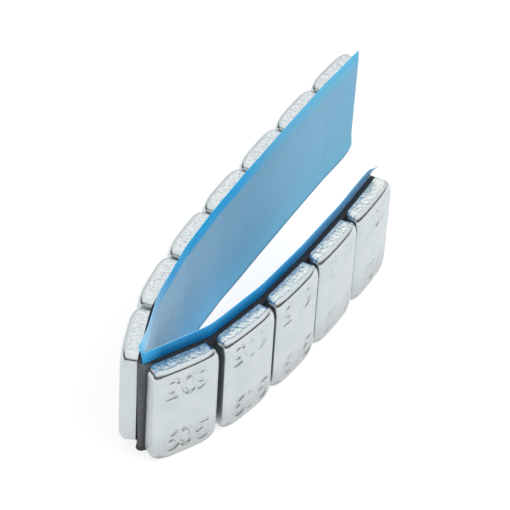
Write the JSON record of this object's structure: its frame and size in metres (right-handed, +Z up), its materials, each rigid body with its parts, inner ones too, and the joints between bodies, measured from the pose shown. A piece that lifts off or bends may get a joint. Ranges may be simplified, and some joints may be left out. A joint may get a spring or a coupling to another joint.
{
  "type": "stick-on wheel balance weight strip",
  "caption": "Strip of stick-on steel wheel balance weights on black foam tape with a blue film liner, bent double into a hairpin and standing on its long edge.",
  "frame": {"origin": "middle of the bounding box, on the surface that the strip stands on", "axes": "+X from the fold towards the open ends, +Y towards the longer arm, +Z up"},
  "size_m": [0.0836, 0.0244, 0.0213],
  "materials": {
    "plated_steel": "satin zinc plating",
    "black_foam": "matte closed-cell foam",
    "blue_film": "glossy film"
  },
  "bodies": {
    "root": {"weight_01": "plated_steel", "weight_02": "plated_steel", "weight_03": "plated_steel", "weight_04": "plated_steel", "weight_05": "plated_steel", "weight_06": "plated_steel", "weight_07": "plated_steel", "weight_08": "plated_steel", "weight_09": "plated_steel", "weight_10": "plated_steel", "weight_11": "plated_steel", "weight_12": "plated_steel", "foam_tape": "black_foam", "release_liner": "blue_film"}
  },
  "joints": []
}
